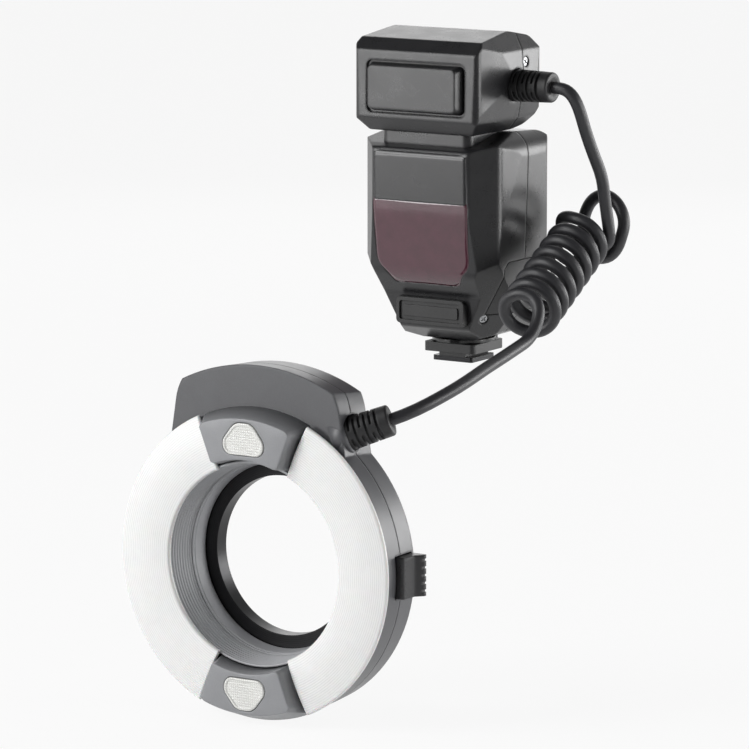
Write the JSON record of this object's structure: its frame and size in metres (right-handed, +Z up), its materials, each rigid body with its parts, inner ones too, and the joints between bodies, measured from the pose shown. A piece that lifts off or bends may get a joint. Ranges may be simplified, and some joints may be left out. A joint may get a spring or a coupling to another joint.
{
  "type": "ring flash",
  "caption": "Macro ring flash: shoe-mounted control unit joined by a curly cord to a ring-shaped flash head that clips round a lens front.",
  "frame": {"origin": "centre of the shoe foot's underside, where the control unit stands on its shoe", "axes": "+X to the viewer's right from the front, -Y to the front, +Z up; the ring head's lens axis runs along Y"},
  "size_m": [0.133, 0.1886, 0.2568],
  "materials": {
    "charcoal_abs": "fine moulded texture",
    "black_abs": "matt black",
    "gloss_black": "gloss black",
    "red_filter": "dark red translucent, glossy",
    "white_diffuser": "opal white with fine rings",
    "clear_lens": "fluted clear",
    "mirror_metal": "bright",
    "satin_metal": "black anodised",
    "steel": "plain",
    "contact_metal": "plated",
    "cord_rubber": "satin",
    "key_rubber": "soft touch",
    "display_glass": "clear, grey behind",
    "lcd": "grey-green",
    "circuit_board": "solder resist green",
    "tube_glass": "clear",
    "cell_skin": "printed sleeve, bare"
  },
  "bodies": {
    "housing": {"badge_plate": "black_abs", "battery_cells": "cell_skin", "battery_holder": "black_abs", "body_front_shell": "charcoal_abs", "body_rear_shell": "charcoal_abs", "bore_sleeve": "black_abs", "capacitor_saddle": "black_abs", "cell_contacts": "contact_metal", "control_board": "circuit_board", "cord_coil": "cord_rubber", "cord_lower_run": "cord_rubber", "cord_upper_run": "cord_rubber", "display_module": "lcd", "display_window": "display_glass", "door_hinge_pin": "steel", "driver_board": "circuit_board", "flash_capacitor": "satin_metal", "flash_tubes": "tube_glass", "foot_block": "black_abs", "front_panel": "charcoal_abs", "head_front_panel": "charcoal_abs", "head_front_shell": "charcoal_abs", "head_rear_shell": "charcoal_abs", "housing_screws": "steel", "left_diffuser": "white_diffuser", "lower_lamp_block": "charcoal_abs", "lower_lamp_lens": "clear_lens", "lower_strain_relief": "cord_rubber", "main_board": "circuit_board", "neck": "black_abs", "red_window": "red_filter", "reflectors": "mirror_metal", "right_diffuser": "white_diffuser", "ring_board": "circuit_board", "ring_front_shell": "charcoal_abs", "ring_rear_shell": "charcoal_abs", "shoe_foot": "satin_metal", "upper_lamp_block": "charcoal_abs", "upper_lamp_lens": "clear_lens", "upper_strain_relief": "cord_rubber"},
    "adapter_ring": {"adapter_ring": "satin_metal", "adapter_flange": "satin_metal"},
    "battery_door": {"battery_door": "charcoal_abs"},
    "door_latch": {"door_latch": "key_rubber"},
    "group_button": {"group_button": "key_rubber"},
    "lamp_button": {"lamp_button": "key_rubber"},
    "left_release": {"left_release": "black_abs", "left_yoke": "steel"},
    "lock_lever": {"lock_lever": "gloss_black"},
    "lock_pin": {"lock_pin": "steel"},
    "mode_button": {"mode_button": "key_rubber"},
    "power_switch": {"power_switch": "black_abs"},
    "right_release": {"right_release": "black_abs", "right_yoke": "steel"},
    "select_dial": {"select_dial": "black_abs"},
    "set_button": {"set_button": "key_rubber"},
    "shoe_contacts": {"shoe_contacts": "contact_metal"},
    "side_cover": {"side_cover": "key_rubber"},
    "sync_button": {"sync_button": "key_rubber"},
    "test_button": {"test_button": "key_rubber"}
  },
  "joints": [
    {"name": "shoe_contacts_press", "type": "slide", "parent": "housing", "child": "shoe_contacts", "axis": [0, 0, 1], "range_m": [0, 0.0004], "stiffness_N_per_m": 1500},
    {"name": "lock_lever_turn", "type": "hinge", "parent": "housing", "child": "lock_lever", "pos_m": [0, 0, 0.0087], "axis": [0, 0, 1], "range_deg": [0, 60]},
    {"name": "lock_pin_slide", "type": "slide", "parent": "housing", "child": "lock_pin", "axis": [0, 0, -1], "range_m": [0, 0.0017]},
    {"name": "battery_door_swing", "type": "hinge", "parent": "housing", "child": "battery_door", "pos_m": [-0.0284, 0.0128, 0.049], "axis": [0, 0, -1], "range_deg": [0, 100]},
    {"name": "door_latch_slide", "type": "slide", "parent": "battery_door", "child": "door_latch", "axis": [0, 0, 1], "range_m": [0, 0.0025]},
    {"name": "side_cover_pull", "type": "slide", "parent": "housing", "child": "side_cover", "axis": [1, 0, 0], "range_m": [0, 0.004]},
    {"name": "mode_button_press", "type": "slide", "parent": "housing", "child": "mode_button", "axis": [0, -1, 0], "range_m": [0, 0.0005], "stiffness_N_per_m": 800},
    {"name": "lamp_button_press", "type": "slide", "parent": "housing", "child": "lamp_button", "axis": [0, -1, 0], "range_m": [0, 0.0005], "stiffness_N_per_m": 800},
    {"name": "group_button_press", "type": "slide", "parent": "housing", "child": "group_button", "axis": [0, -1, 0], "range_m": [0, 0.0005], "stiffness_N_per_m": 800},
    {"name": "sync_button_press", "type": "slide", "parent": "housing", "child": "sync_button", "axis": [0, -1, 0], "range_m": [0, 0.0005], "stiffness_N_per_m": 800},
    {"name": "test_button_press", "type": "slide", "parent": "housing", "child": "test_button", "axis": [0, -1, 0], "range_m": [0, 0.0005], "stiffness_N_per_m": 800},
    {"name": "set_button_press", "type": "slide", "parent": "housing", "child": "set_button", "axis": [0, -1, 0], "range_m": [0, 0.0005], "stiffness_N_per_m": 800},
    {"name": "select_dial_turn", "type": "hinge", "parent": "housing", "child": "select_dial", "pos_m": [0, 0.0175, 0.036], "axis": [0, 1, 0], "continuous": true},
    {"name": "power_switch_slide", "type": "slide", "parent": "housing", "child": "power_switch", "axis": [0, 0, 1], "range_m": [0, 0.005]},
    {"name": "right_release_press", "type": "slide", "parent": "housing", "child": "right_release", "axis": [-1, 0, 0], "range_m": [0, 0.002], "stiffness_N_per_m": 600},
    {"name": "left_release_press", "type": "slide", "parent": "housing", "child": "left_release", "axis": [1, 0, 0], "range_m": [0, 0.002], "stiffness_N_per_m": 600},
    {"name": "adapter_ring_turn", "type": "hinge", "parent": "housing", "child": "adapter_ring", "pos_m": [0, -0.136, -0.0594], "axis": [0, 1, 0], "continuous": true}
  ]
}
